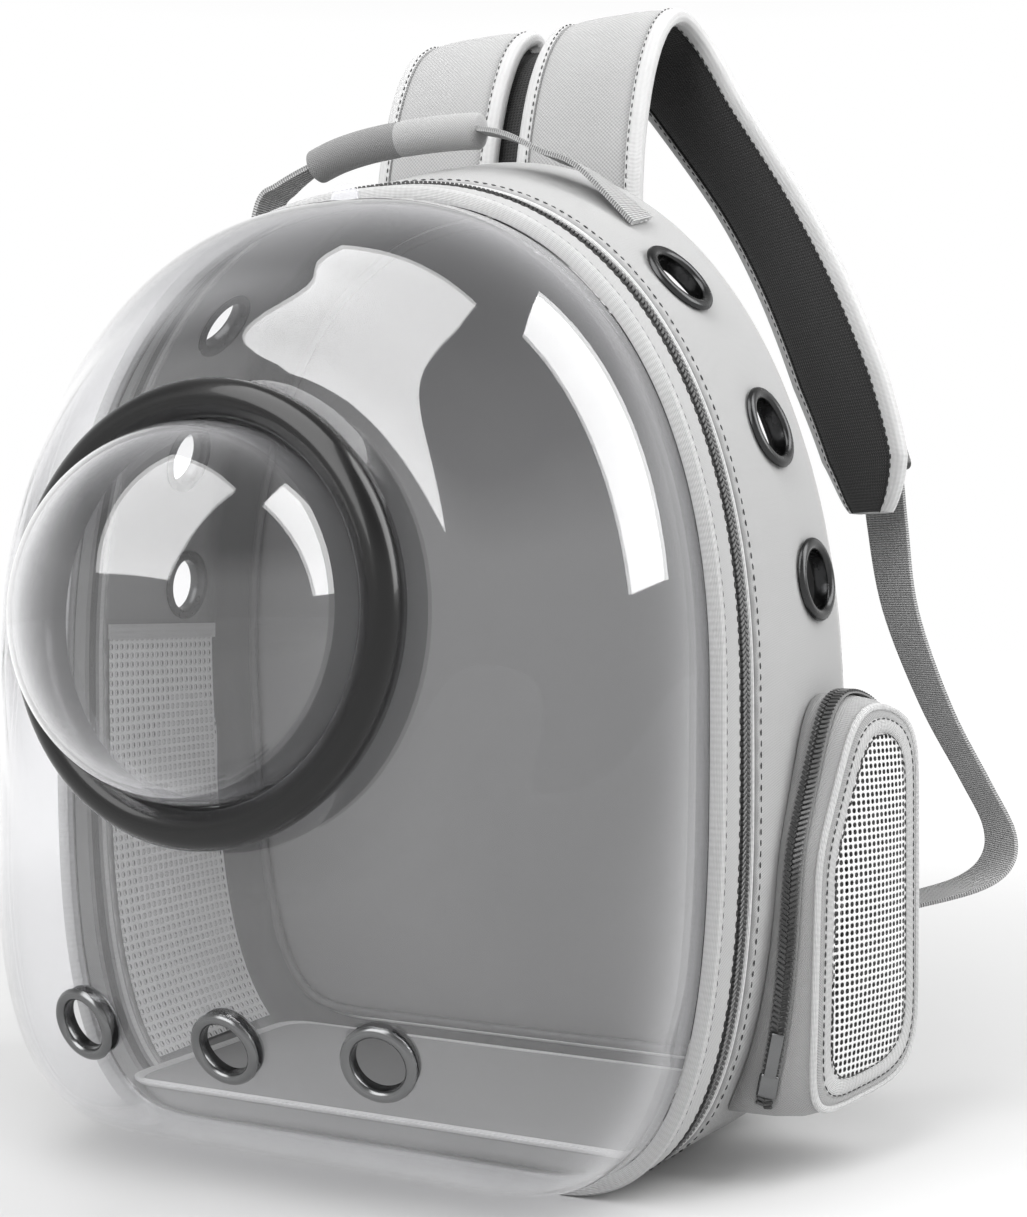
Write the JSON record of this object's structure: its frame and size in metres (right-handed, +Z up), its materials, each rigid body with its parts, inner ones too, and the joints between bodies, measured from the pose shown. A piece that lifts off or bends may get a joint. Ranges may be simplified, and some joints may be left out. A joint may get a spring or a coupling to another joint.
{
  "type": "bubble pet carrier backpack",
  "caption": "Soft-sided pet carrier backpack with a clear domed front shell, a round bubble window in a black ring, air vents, side pockets, a top handle and shoulder straps.",
  "frame": {"origin": "centre of the flat base, on the surface the pack stands on", "axes": "+Z up, -Y towards the clear bubble front, +Y towards the wearer's back, X across the pack"},
  "size_m": [0.4424, 0.3894, 0.5059],
  "materials": {
    "gusset_cloth": "light grey woven oxford cloth, matt",
    "frame_cloth": "pale grey bound cloth, matt",
    "zip_tape": "grey zip tape with a dark nylon coil",
    "piping": "pale grey piping cord",
    "clear_sheet": "clear moulded sheet, glossy",
    "clear_dome": "clear moulded dome, glossy",
    "black_ring": "black moulded plastic, glossy",
    "grey_eyelet": "grey rolled metal eyelet",
    "dark_eyelet": "dark plated rolled metal eyelet",
    "cabin_cloth": "mid grey padded cloth",
    "dark_piping": "dark bound seam",
    "pocket_cloth": "light grey woven oxford cloth, matt",
    "net": "white and grey open mesh",
    "strap_cloth": "pale grey padded cloth with white binding and a black mesh lining",
    "strap_lining": "black mesh cloth",
    "buckle_plastic": "black moulded plastic",
    "webbing": "grey ribbed webbing",
    "grip_cloth": "grey padded cloth tube"
  },
  "bodies": {
    "pack": {"side_gusset": "gusset_cloth", "front_frame": "frame_cloth", "door_zip": "zip_tape", "gusset_piping": "piping", "front_shell": "clear_sheet", "shell_tab": "clear_sheet", "dome_ring": "black_ring", "front_eyelet_left": "grey_eyelet", "front_eyelet_centre": "grey_eyelet", "front_eyelet_right": "grey_eyelet", "side_eyelet_upper_left": "dark_eyelet", "side_eyelet_middle_left": "dark_eyelet", "side_eyelet_lower_left": "dark_eyelet", "side_eyelet_upper_right": "dark_eyelet", "side_eyelet_middle_right": "dark_eyelet", "side_eyelet_lower_right": "dark_eyelet", "floor_pad": "cabin_cloth", "back_panel": "cabin_cloth", "back_piping": "dark_piping", "side_pocket_left": "pocket_cloth", "side_pocket_right": "pocket_cloth", "pocket_mesh_left": "net", "pocket_mesh_right": "net", "pocket_zip_left": "zip_tape", "pocket_zip_right": "zip_tape", "window_mesh_left": "net", "window_mesh_right": "net", "shoulder_strap_left": "strap_cloth", "shoulder_strap_right": "strap_cloth", "strap_yoke": "strap_lining", "strap_buckle_left": "buckle_plastic", "strap_buckle_right": "buckle_plastic", "strap_webbing_left": "webbing", "strap_webbing_right": "webbing", "handle_webbing": "webbing", "handle_grip": "grip_cloth"},
    "bubble": {"bubble_dome": "clear_dome"}
  },
  "joints": [
    {"name": "dome_twist", "type": "hinge", "parent": "pack", "child": "bubble", "pos_m": [0, -0.169, 0.221], "axis": [0, -0.9987, 0.0506], "range_deg": [0, 20]}
  ]
}
